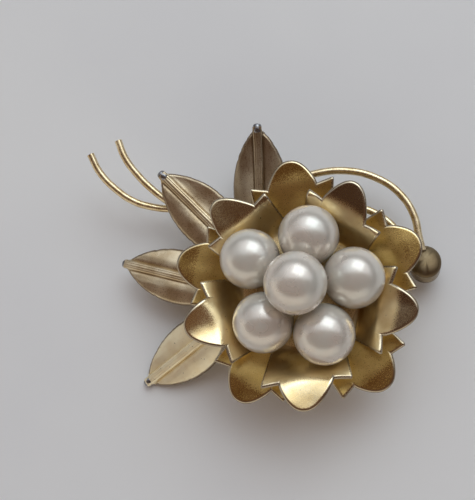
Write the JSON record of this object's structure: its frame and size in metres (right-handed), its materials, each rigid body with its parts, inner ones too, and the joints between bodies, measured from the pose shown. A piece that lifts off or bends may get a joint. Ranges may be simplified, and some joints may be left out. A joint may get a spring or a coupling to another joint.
{
  "type": "flower brooch",
  "caption": "Gold-tone flower brooch with a pearl cluster, fanned leaves, looping stem wires and a hinged pin with a roll-over safety catch on the back.",
  "frame": {"origin": "on the resting plane under the middle of the brooch's box", "axes": "+X along the length from the wire ends towards the bud, +Y across towards the upright leaf, +Z out of the flower's face"},
  "size_m": [0.0501, 0.0395, 0.0216],
  "materials": {
    "gold_petal": "satin gold plate",
    "gold_petal_deep": "satin gold plate, darker",
    "gold_leaf": "satin gold plate",
    "gold_wire": "drawn wire, satin",
    "gold_back": "plain gold plate",
    "pin_steel": "polished steel",
    "pearl": "nacre"
  },
  "bodies": {
    "brooch": {"back_plate": "gold_back", "bud": "gold_wire", "catch_housing": "gold_back", "centre_post": "gold_back", "hinge_bracket": "gold_back", "hinge_rivet": "pin_steel", "leaf_1": "gold_leaf", "leaf_2": "gold_leaf", "leaf_3": "gold_leaf", "leaf_4": "gold_leaf", "lower_flower": "gold_petal_deep", "pearl_1": "pearl", "pearl_2": "pearl", "pearl_3": "pearl", "pearl_4": "pearl", "pearl_5": "pearl", "pearl_centre": "pearl", "pearl_peg_1": "gold_back", "pearl_peg_2": "gold_back", "pearl_peg_3": "gold_back", "pearl_peg_4": "gold_back", "pearl_peg_5": "gold_back", "pearl_plate": "gold_back", "pin_bar": "gold_back", "spacer_washer": "gold_back", "stem_wire_long": "gold_wire", "stem_wire_short": "gold_wire", "upper_flower": "gold_petal"},
    "pin": {"pin_stem": "pin_steel"},
    "catch": {"catch_roller": "gold_back"}
  },
  "joints": [
    {"name": "pin_hinge", "type": "hinge", "parent": "brooch", "child": "pin", "pos_m": [-0.0059, -0.0007, 0.0021], "axis": [0, 1, 0], "range_deg": [0, 95]},
    {"name": "catch_turn", "type": "hinge", "parent": "brooch", "child": "catch", "pos_m": [0.0182, -0.0007, 0.0021], "axis": [-1, 0, 0], "range_deg": [0, 90]}
  ]
}
